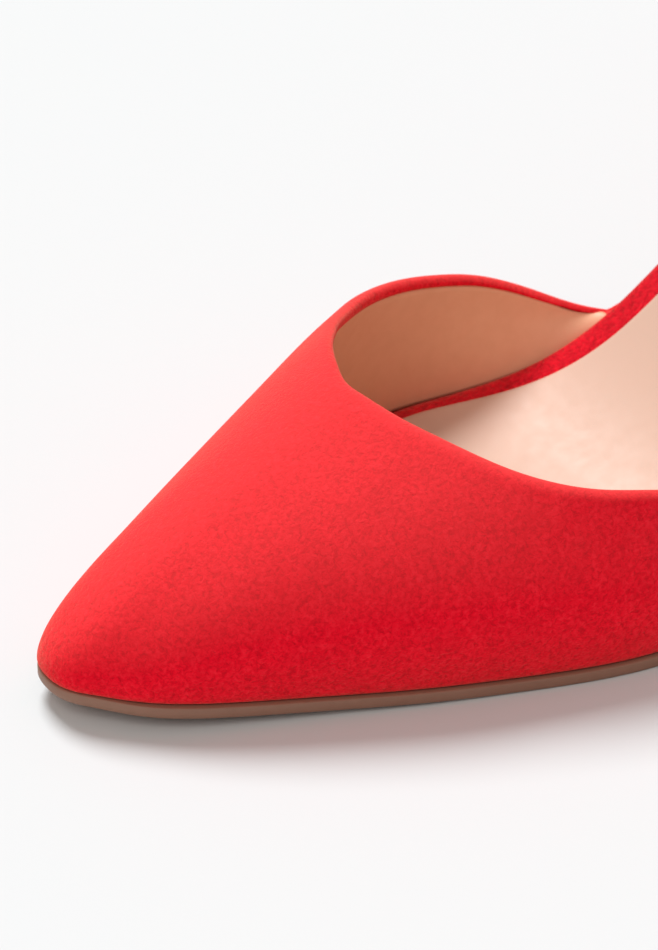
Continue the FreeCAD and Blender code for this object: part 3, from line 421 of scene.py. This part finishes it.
def wall_frame(wall, s, v):
    """Points of one wall section and the unit vectors into the wall."""
    step = 1e-3
    section = wall.section(s)
    before, after = wall.section(max(-1.0, s - step)), wall.section(min(1.0, s + step))
    along = bezier(after, v) - bezier(before, v)
    normal = np.cross(along, bezier_tangent(section, np.clip(v, 1e-3, 1.0)))
    normal /= np.maximum(1e-12, np.linalg.norm(normal, axis=1))[:, None]
    return bezier(section, v), wall.inward * normal


def shift(v, s):
    """Depth of the outer face under the section; negative lies outside it."""
    u = np.clip(v / 0.7, 0, 1)
    return -lerp(1.2, 0.5, smooth(0.9, 1.0, abs(s))) * u * u * (3 - 2 * u)


def lining_depths(s):
    """Depths of the lining's two faces; they close up at the wall's ends."""
    end = smooth(0.9, 1.0, abs(s))
    return lerp(LINING_FACE, UPPER + 0.06, end), lerp(WALL, UPPER + 0.2, end)


def outer_columns(wall, s, margin, fold, relief):
    """Spline poles of the leather's two faces at s.

    They run from the lasting margin, up the wall and over the topline, down inside to v = fold.
    relief raises the outer face.
    """
    near, far = lining_depths(s)
    (x0, y0), (nx, ny) = wall.foot(s)
    outer, inner = [], []
    edge = 0.9 * lerp(1.0, 0.4, smooth(0.9, 1.0, abs(s)))
    for offset in (-margin, -margin * 0.6, -margin * 0.2, edge):
        x, y = x0 + nx * offset, y0 + ny * offset
        z = feather_z(y) + CLEAR
        outer.append([x, y, z])
        inner.append([x, y, z + UPPER])

    points, inward = wall_frame(wall, s, WALL_V)
    depth = shift(WALL_V, s)[:, None]
    inner_wall = points + inward * (depth + UPPER)
    inner_wall[0, 2] = feather_z(inner_wall[0, 1]) + CLEAR + UPPER
    outer += (points + inward * (depth - relief)).tolist()
    inner += inner_wall.tolist()

    points, inward = wall_frame(wall, s, np.array([1.0, (1 + fold) / 2, fold, 0.96]))
    up = points[0] - points[3]
    up /= max(1e-9, np.linalg.norm(up))
    depth = float(shift(np.array([1.0]), s)[0])
    outer.append(points[0] + inward[0] * (depth + far * 0.5) + 0.9 * up)
    inner.append(points[0] + inward[0] * (depth + (UPPER + near) / 2) - 0.25 * up)
    for k, (outer_drop, inner_drop) in enumerate(((0.1, 0.8), (0.0, 0.0), (0.0, 0.0))):
        outer.append(points[k] + inward[k] * (depth + far) - outer_drop * up)
        inner.append(points[k] + inward[k] * (depth + near) - inner_drop * up)
    return np.array(outer), np.array(inner)


def lining_columns(wall, s, v_low, v_high):
    """Spline poles of the lining's two faces at s; the inner one thins at the top edge."""
    near, far = lining_depths(s)
    v = np.linspace(v_low, v_high, 22)
    points, inward = wall_frame(wall, s, v)
    depth = shift(v, s)[:, None]
    top = np.clip((v - (v_high - 0.012)) / 0.012, 0, 1)[:, None]
    return (points + inward * (depth + near + 0.02),
            points + inward * (depth + far - 0.02 - 0.25 * top))


def double_sheet(name, columns, samples):
    """Closed mesh from pairs of pole columns, with both open ends capped."""
    weights = spline_basis(len(columns[0][0]), samples)
    points = np.array([np.concatenate([weights @ a, (weights @ b)[::-1]]) for a, b in columns])
    count = 2 * samples
    j = np.arange(samples - 1)
    first_cap = np.stack([j, count - 1 - j, count - 2 - j, j + 1], -1)
    last_cap = first_cap[:, ::-1] + (len(columns) - 1) * count
    faces = np.concatenate([loop_faces(len(columns), count), first_cap, last_cap])
    return new_mesh(name, points, faces.tolist())


# ------------------------------------------------------------------ bottom layers
def rim(offset_at, steps, y_end=None):
    """Lateral and medial outline in plan, toe tip to back, moved outwards by offset_at(y)."""
    sides = []
    for side, total in ((1, HEEL_ARC), (-1, OUTLINE_LENGTH - HEEL_ARC)):
        points = []
        for arc in np.linspace(0, total, 3000):
            (x, y), (nx, ny) = outline(side * arc)
            offset = offset_at(y)
            points.append((x + nx * offset, y + ny * offset))
        points = np.array(points)
        if y_end is not None:
            k = np.argmax(points[:, 1] > y_end)
            a, b = points[k - 1], points[k]
            points = np.concatenate([points[:k], [a + (y_end - a[1]) / (b[1] - a[1]) * (b - a)]])
        run = np.concatenate([[0], np.cumsum(np.hypot(*np.diff(points, axis=0).T))])
        t = np.linspace(0, run[-1], steps + 1)
        sides.append(np.stack([np.interp(t, run, points[:, k]) for k in (0, 1)], 1))
    lateral, medial = sides
    lateral[0] = medial[0] = (lateral[0] + medial[0]) / 2
    if y_end is None:
        lateral[-1] = medial[-1] = (lateral[-1] + medial[-1]) / 2
    return lateral, medial


def plate(name, offset_at, profile, steps, across, y_end=None, z_min=-math.inf):
    """Solid sheet with a straight cut at y_end, if given.

    profile holds (inset, height) pairs from the first face's rim round to the second's.
    """
    t = np.linspace(0, 1, across + 1)[1:-1, None]

    def raised(plan, height):
        return np.column_stack([plan, np.maximum(level_z(plan[:, 1], height), z_min)])

    rings = []
    for inset, height in profile:
        cut = None if y_end is None else y_end - inset * 0.6
        lateral, medial = rim(lambda y: offset_at(y) - inset, steps, cut)
        if cut is None:
            parts = [lateral, medial[1:-1][::-1]]
        else:
            parts = [lateral, lateral[-1] + (medial[-1] - lateral[-1]) * t, medial[1:][::-1]]
        rings.append(raised(np.concatenate(parts), height))
    count = len(rings[0])
    points, faces = list(rings), [loop_faces(len(rings), count)]

    # Each face is a grid of rows from the lateral to the medial rim; row 0 is the toe tip.
    lateral = np.arange(steps + 1)
    medial = (count - lateral) % count
    used = count * len(rings)
    for row in (0, len(rings) - 1):
        grid = np.zeros((steps + 1, across + 1), np.int64)
        grid[1:, 0], grid[1:, -1] = lateral[1:], medial[1:]
        grid[-1] = steps if y_end is None else np.arange(steps, steps + across + 1)
        grid += row * count
        inside = (steps - 1) * (across - 1)
        grid[1:-1, 1:-1] = used + np.arange(inside).reshape(steps - 1, across - 1)
        used += inside
        a, b = (rings[row][side[1:-1], None, :2] for side in (lateral, medial))
        points.append(raised((a + (b - a) * t).reshape(-1, 2), profile[row][1]))
        quads = np.stack([grid[:-1, :-1], grid[:-1, 1:], grid[1:, 1:], grid[1:, :-1]], -1)
        quads = quads.reshape(-1, 4)
        faces.append(quads[:, ::-1] if row else quads)
    return new_mesh(name, np.concatenate(points), without_repeats(np.concatenate(faces)))


def band_ring(name, section):
    """Closed band round the whole insole; section is its closed (inset, height) loop."""
    loops = []
    for inset, height in section:
        lateral, medial = rim(lambda y: -inset - band_extra(y) * (inset > 2.0), 900)
        plan = np.concatenate([lateral, medial[1:-1][::-1]])
        y = plan[:, 1]
        z = level_z(y, height)
        low = max(0.0, 1 - max(0.0, height - BAND_LOW) / 0.8)
        # between the vamp wings and the heel cup the band reaches down to the outsole
        a, b = np.clip((y - 129.5) / 4, 0, 1), np.clip((y - 163) / 5, 0, 1)
        drop = (BAND_LOW - 0.03) * low * a * a * (3 - 2 * a) * (1 - b * b * (3 - 2 * b))
        z = z - drop * np.interp(y, LEVEL_Y, LEVEL_STRETCH)
        loops.append(np.column_stack([plan, z]))
    faces = loop_faces(len(loops), len(loops[0]), closed=True)
    return new_mesh(name, np.array(loops), faces.tolist())


# ------------------------------------------------------------------ materials
class Shader:
    """Node material; its inputs take a number, an RGB tuple or an output socket."""

    def __init__(self, name):
        self.material = bpy.data.materials.new(name)
        self.material.use_nodes = True
        self.tree = self.material.node_tree

    def feed(self, node, inputs):
        for key, value in inputs.items():
            if isinstance(value, bpy.types.NodeSocket):
                self.tree.links.new(value, node.inputs[key])
            elif isinstance(value, tuple):
                node.inputs[key].default_value = (*value, 1)
            else:
                node.inputs[key].default_value = value

    def surface(self, inputs):
        self.feed(self.tree.nodes["Principled BSDF"], inputs)
        return self.material

    def node(self, kind, inputs, **settings):
        node = self.tree.nodes.new(kind)
        for key, value in settings.items():
            setattr(node, key, value)
        self.feed(node, inputs)
        return node

    def coords(self):
        return self.node("ShaderNodeTexCoord", {}).outputs["Object"]

    def noise(self, vector, scale, detail, rough, distort=0.0):
        return self.node("ShaderNodeTexNoise", {
            "Vector": vector, "Scale": scale, "Detail": detail, "Roughness": rough,
            "Distortion": distort}).outputs["Fac"]

    def remap(self, value, source, target):
        return self.node("ShaderNodeMapRange", {
            "Value": value, "From Min": source[0], "From Max": source[1],
            "To Min": target[0], "To Max": target[1]}).outputs["Result"]

    def mix(self, factor, a, b, mode="MIX"):
        return self.node("ShaderNodeMix", {0: factor, 6: a, 7: b},
                         data_type="RGBA", blend_type=mode).outputs[2]

    def bump(self, height, strength, distance, under=None):
        inputs = {"Strength": strength, "Distance": distance, "Height": height}
        if under is not None:
            inputs["Normal"] = under
        return self.node("ShaderNodeBump", inputs).outputs["Normal"]


def suede(name, dark, mid, light, top_light_paint):
    """Napped leather: clumped fibres with dark gaps, and painted top light: a paler red where it
    faces up, standing in for light from above.
    """
    sh = Shader(name)
    vector = sh.coords()
    stretch = sh.node("ShaderNodeMapping", {"Vector": sh.coords()})
    stretch.inputs["Scale"].default_value = (1.0, 0.45, 1.0)
    fibre = sh.noise(stretch.outputs["Vector"], scale=3400, detail=4, rough=0.65, distort=0.8)
    clump = sh.noise(vector, scale=1250, detail=4, rough=0.62, distort=0.5)
    patch = sh.noise(vector, scale=260, detail=3, rough=0.55)

    ramp = sh.node("ShaderNodeValToRGB", {"Fac": clump})
    ramp.color_ramp.elements.new(0.5)
    stops = ((0.34, dark), (0.5, mid), (0.66, light))
    for element, (position, color) in zip(ramp.color_ramp.elements, stops):
        element.position = position
        element.color = (*color, 1)
    color = sh.mix(sh.remap(fibre, (0.45, 0.31), (0.0, 0.50)), ramp.outputs["Color"],
                   tuple(k * 0.62 for k in dark))
    color = sh.mix(sh.remap(patch, (0.40, 0.66), (0.0, 0.28)), color, dark)
    normal = sh.node("ShaderNodeNewGeometry", {}).outputs["Normal"]
    upward = sh.node("ShaderNodeSeparateXYZ", {"Vector": normal}).outputs["Z"]
    # Painted top light: faces turned up are mixed towards a paler red, as if lit from above.
    painted_top_color = sh.mix(0.5, color, (1.0, 0.105, 0.095), "LIGHTEN")
    color = sh.mix(sh.remap(upward, (0.25, 0.92), (0.0, top_light_paint)), color, painted_top_color)

    relief = sh.bump(patch, strength=0.25, distance=0.0004)
    relief = sh.bump(clump, strength=0.60, distance=0.00035, under=relief)
    relief = sh.bump(fibre, strength=0.60, distance=0.00016, under=relief)
    return sh.surface({
        "Base Color": color, "Roughness": 0.85, "Specular IOR Level": 0.06, "Sheen Weight": 0.5,
        "Sheen Roughness": 0.42, "Sheen Tint": (1.0, 0.50, 0.34), "Normal": relief})


def smooth_leather(name, base, dark, rough, grain, pore_scale):
    """Leather with a fine pore pattern and soft mottling towards dark."""
    sh = Shader(name)
    vector = sh.coords()
    pores = sh.node("ShaderNodeTexVoronoi", {"Scale": pore_scale, "Vector": vector},
                    feature="DISTANCE_TO_EDGE").outputs["Distance"]
    fine = sh.noise(vector, scale=400, detail=4, rough=0.55)
    broad = sh.noise(vector, scale=35, detail=2, rough=0.5)
    color = sh.mix(sh.remap(fine, (0.3, 0.7), (0.0, 0.30)), base, dark)
    color = sh.mix(sh.remap(broad, (0.35, 0.65), (0.0, 0.25)), color, dark)
    relief = sh.bump(sh.remap(pores, (0.0, 0.22), (0.0, 1.0)), strength=grain, distance=0.00004)
    relief = sh.bump(fine, strength=grain * 0.8, distance=0.00008, under=relief)
    return sh.surface({
        "Base Color": color,
        "Roughness": sh.remap(fine, (0.3, 0.7), (rough - 0.04, rough + 0.06)),
        "Specular IOR Level": 0.45, "Coat Roughness": 0.35, "Normal": relief})


def plain(name, color, rough, metal, scale, mottle):
    """Plain stuff, mottled by one noise."""
    sh = Shader(name)
    noise = sh.noise(sh.coords(), scale, detail=4, rough=0.6)
    shade = tuple(k * 0.6 for k in color)
    return sh.surface({
        "Base Color": sh.mix(sh.remap(noise, (0.3, 0.7), (0.0, mottle * 2)), color, shade),
        "Roughness": sh.remap(noise, (0.3, 0.7), (rough - 0.05, rough + 0.08)),
        "Metallic": metal, "Normal": sh.bump(noise, strength=0.12, distance=0.0001)})


# The red suede gets painted top light where it faces up; the band gets darker suede colours and no
# painted top light.
RED = suede("suede_red", dark=(0.68, 0.0004, 0.014), mid=(0.93, 0.0012, 0.020),
            light=(1.0, 0.012, 0.034), top_light_paint=0.80)
BAND = suede("suede_band", dark=(0.44, 0.0004, 0.010), mid=(0.70, 0.0012, 0.017),
             light=(0.84, 0.006, 0.024), top_light_paint=0.0)
TAN = smooth_leather("lining_tan", base=(0.86, 0.46, 0.275), dark=(0.76, 0.37, 0.21),
                     rough=0.52, grain=0.18, pore_scale=1500)
NUDE = smooth_leather("sock_nude", base=(0.665, 0.445, 0.340), dark=(0.645, 0.425, 0.320),
                      rough=0.50, grain=0.05, pore_scale=2600)
BROWN = smooth_leather("sole_brown", base=(0.30, 0.155, 0.103), dark=(0.23, 0.112, 0.072),
                       rough=0.48, grain=0.25, pore_scale=900)

# Material, colour, roughness, metallic, noise scale, mottle, and the CAD pieces that wear it
PLAIN = (
    ("lift_dark", (0.035, 0.025, 0.022), 0.5, 0, 900, 0.2, "top_lift"),
    ("stiffener_cloth", (0.80, 0.77, 0.70), 0.9, 0, 2500, 0.2, "toe_puff heel_counter"),
    ("tape_cloth", (0.62, 0.30, 0.19), 0.85, 0, 2500, 0.2,
     "vamp_topline_tape quarter_topline_tape"),
    ("board_brown", (0.45, 0.33, 0.21), 0.9, 0, 1200, 0.25, "insole_board shank_board"),
    ("foam_cream", (0.88, 0.84, 0.74), 0.95, 0, 1800, 0.15, "cushion_foam"),
    ("cork_grain", (0.50, 0.33, 0.18), 0.9, 0, 700, 0.4, "bottom_filler"),
    ("spring_steel", (0.35, 0.36, 0.38), 0.35, 1.0, 500, 0.15, "steel_shank"),
    ("zinc_steel", (0.70, 0.71, 0.73), 0.3, 1.0, 500, 0.1,
     "shank_rivets heel_dowel_tube heel_screw heel_nails top_lift_pin"),
    ("heel_plastic", (0.74, 0.72, 0.67), 0.5, 0, 200, 0.05, "heel_block"),
)
cad_materials = {"heel_cover": RED}
for *look, pieces in PLAIN:
    cad_materials.update(dict.fromkeys(pieces.split(), plain(*look)))
for name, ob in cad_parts.items():
    if name in cad_materials:
        ob.data.materials.clear()
        ob.data.materials.append(cad_materials[name])


def put(ob, material, replaced):
    ob.data.materials.clear()
    ob.data.materials.append(material)
    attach(ob, "root")
    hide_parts(replaced)


# ------------------------------------------------------------------ upper
# Soft waves left by lasting, on the lateral side: (centre s, height, width)
WAVES = ((0.60, 0.16, 0.018), (0.645, -0.14, 0.016), (0.70, 0.12, 0.02))


def vamp_margin(s):
    return lerp(5.2, 7.6, smooth(0.02, 0.2, abs(s))) - 2.5 * smooth(0.85, 1.0, abs(s))


def vamp_relief(s):
    v = WALL_V[:, None]
    return sum(height * np.exp(-((s - centre - 0.10 * (v - 0.9)) / width) ** 2)
               * np.exp(-((v - 0.86) / 0.10) ** 2) for centre, height, width in WAVES)


def seam_relief(s):
    """Groove along the back seam."""
    return -0.55 * max(0.0, 1 - abs(s) / 0.010) ** 2


def stations(start, end, count):
    return np.linspace(start, end, count).tolist()


columns = [outer_columns(VAMP, s, margin=vamp_margin(s), fold=0.945, relief=vamp_relief(s))
           for s in stations(-1.0, 1.0, 520)]
put(double_sheet("upper_vamp", columns, 94), RED, "vamp_outer")

columns = [lining_columns(VAMP, s, 0.10, 0.942 - 0.16 * smooth(-0.93, -0.98, s))
           for s in stations(-0.98, 0.985, 520)]
put(double_sheet("lining_vamp", columns, 80), TAN, "vamp_lining")

for side, start, end in (("lateral", 0.0016, 1.0), ("medial", -1.0, -0.0016)):
    columns = [outer_columns(QUARTER, s, margin=6.0, fold=0.97, relief=seam_relief(s))
               for s in stations(start, end, 380)]
    put(double_sheet("upper_quarter_" + side, columns, 120), RED,
        "quarter_outer_" + side)

columns = [lining_columns(QUARTER, s, 0.055, 0.967) for s in stations(-0.985, 0.985, 420)]
put(double_sheet("lining_quarter", columns, 90), TAN, "quarter_lining")


# ------------------------------------------------------------------ insole
def band_extra(y):
    """Extra width of the band: narrower at the toe, wider at the waist."""
    return -1.7 * smooth(40, 4, y) + 2.3 * smooth(86, 124, y) * (1 - smooth(172, 196, y))


ROUND = 1.15                # radius of the band's upper outer edge
BAND_SECTION = [
    (BAND_WIDTH, BAND_HIGH - 0.45), (BAND_WIDTH, BAND_HIGH - 0.18),
    (BAND_WIDTH - 0.10, BAND_HIGH + 0.06), (BAND_WIDTH - 0.4, BAND_HIGH + 0.12),
    (3.0, BAND_HIGH + 0.12), (2.0, BAND_HIGH + 0.08), (1.35, BAND_HIGH - 0.01),
    *((ROUND - ROUND * math.sin(math.radians(angle)),
       BAND_HIGH - 0.10 - ROUND + ROUND * math.cos(math.radians(angle)))
      for angle in (20, 40, 60, 80)),
    (0.0, BAND_LOW + 0.7), (0.08, BAND_LOW + 0.3), (0.35, BAND_LOW + 0.08), (0.7, BAND_LOW),
    (BAND_WIDTH, BAND_LOW), (BAND_WIDTH, BAND_LOW + 0.48), (0.7, BAND_LOW + 0.5),
    (0.52, BAND_LOW + 0.8), (0.52, BOARD_TOP - 0.4), (0.8, BOARD_TOP),
    (1.4, BOARD_TOP + 0.02), (BAND_WIDTH, BOARD_TOP + 0.02)]
put(band_ring("rand_wrap", BAND_SECTION), BAND, "insole_wrap")

SOCK_TOP, SOCK_BASE = BAND_HIGH + SOCK, BAND_HIGH + 0.13
SOCK_PROFILE = [
    (1.3, SOCK_TOP), (0.9, SOCK_TOP - 0.015), (0.55, SOCK_TOP - 0.07), (0.28, SOCK_TOP - 0.18),
    (0.09, SOCK_TOP - 0.36), (0.0, SOCK_TOP - 0.55), (0.0, SOCK_BASE), (1.3, SOCK_BASE)]
sock = plate("sock", lambda y: -BAND_WIDTH + 0.5 - band_extra(y), SOCK_PROFILE,
             steps=520, across=60)
put(sock, NUDE, "sock_lining")


# ------------------------------------------------------------------ outsole
def sole_offset(y):
    return lerp(WALL + 0.65 - 0.75 * smooth(16, 2, y), 0.35, smooth(122, 140, y))


SOLE_PROFILE = [(1.2, 0.0), (0.35, 0.0), (0.12, -0.05), (0.0, -0.22), (0.0, -1.65),
                (0.10, -1.92), (0.38, -2.08), (1.2, -2.12)]
sole = plate("sole", sole_offset, SOLE_PROFILE, steps=560, across=40, y_end=186.5, z_min=0.0)
put(sole, BROWN, "outsole")

# ------------------------------------------------------------------ floor and world (metres)
bpy.ops.mesh.primitive_plane_add(size=6, location=(0, 0, -0.00005))
floor = bpy.context.object
floor.name = "floor"
floor.data.materials.append(Shader("floor_white").surface({
    "Base Color": (0.69, 0.71, 0.715), "Roughness": 0.75, "Specular IOR Level": 0.1}))

# The camera sees a pale grey; all other rays get a warm ambient light.
world = bpy.data.worlds.new("world")
bpy.context.scene.world = world
world.use_nodes = True
nodes, links = world.node_tree.nodes, world.node_tree.links
ambient = nodes["Background"]
ambient.inputs["Color"].default_value = (1, 0.90, 0.85, 1)
ambient.inputs["Strength"].default_value = 0.36
backdrop = nodes.new("ShaderNodeBackground")
backdrop.inputs["Color"].default_value = (0.93, 0.93, 0.93, 1)
rays, pick = nodes.new("ShaderNodeLightPath"), nodes.new("ShaderNodeMixShader")
links.new(rays.outputs["Is Camera Ray"], pick.inputs[0])
links.new(ambient.outputs[0], pick.inputs[1])
links.new(backdrop.outputs[0], pick.inputs[2])
links.new(pick.outputs[0], nodes["World Output"].inputs["Surface"])

# ------------------------------------------------------------------ lights
LIGHT_TARGET = Vector((0, -0.14, 0.02))


def soft_sun(name, location, angle, strength, color):
    """Sun aimed at the shoe; a wide angle (degrees) gives soft shadow edges."""
    light = bpy.data.lights.new(name, "SUN")
    light.angle = math.radians(angle)
    light.energy = strength
    light.color = color
    ob = add_object(name, light)
    ob.location = location
    ob.rotation_euler = (LIGHT_TARGET - Vector(location)).to_track_quat("-Z", "Y").to_euler()


soft_sun("key", (-0.66, -0.03, 1.06), angle=24, strength=3.10, color=(0.965, 1.0, 1.02))
soft_sun("fill", (0.5, -0.9, 1.1), angle=40, strength=0.84, color=(1.0, 0.93, 0.89))

# ------------------------------------------------------------------ camera
CAMERA_TARGET = Vector((-7.028, 56.858 - ORIGIN_Y, 19.3)) * MM
CAMERA_DISTANCE = 0.579
AZIMUTH, ELEVATION = math.radians(58.931), math.radians(34.487)     # azimuth from -Y towards +X
FOCUS = Vector((12, 40 - ORIGIN_Y, 26)) * MM

back = Vector((math.sin(AZIMUTH) * math.cos(ELEVATION),
               -math.cos(AZIMUTH) * math.cos(ELEVATION), math.sin(ELEVATION)))
lens = bpy.data.cameras.new("camera")
lens.sensor_fit = "AUTO"
lens.sensor_width = 36.0
lens.lens = 136.97799
lens.clip_start, lens.clip_end = 0.01, 20
camera = add_object("camera", lens)
camera.location = CAMERA_TARGET + back * CAMERA_DISTANCE
camera.rotation_mode = "QUATERNION"
camera.rotation_quaternion = (-back).to_track_quat("-Z", "Y")
bpy.context.scene.camera = camera
focus = add_object("focus", None)
focus.location = FOCUS
lens.dof.use_dof = True
lens.dof.focus_object = focus
lens.dof.aperture_fstop = 45

view = bpy.context.scene.view_settings
view.view_transform = "Standard"
view.look = "None"
view.exposure = 0.0
view.gamma = 1.0
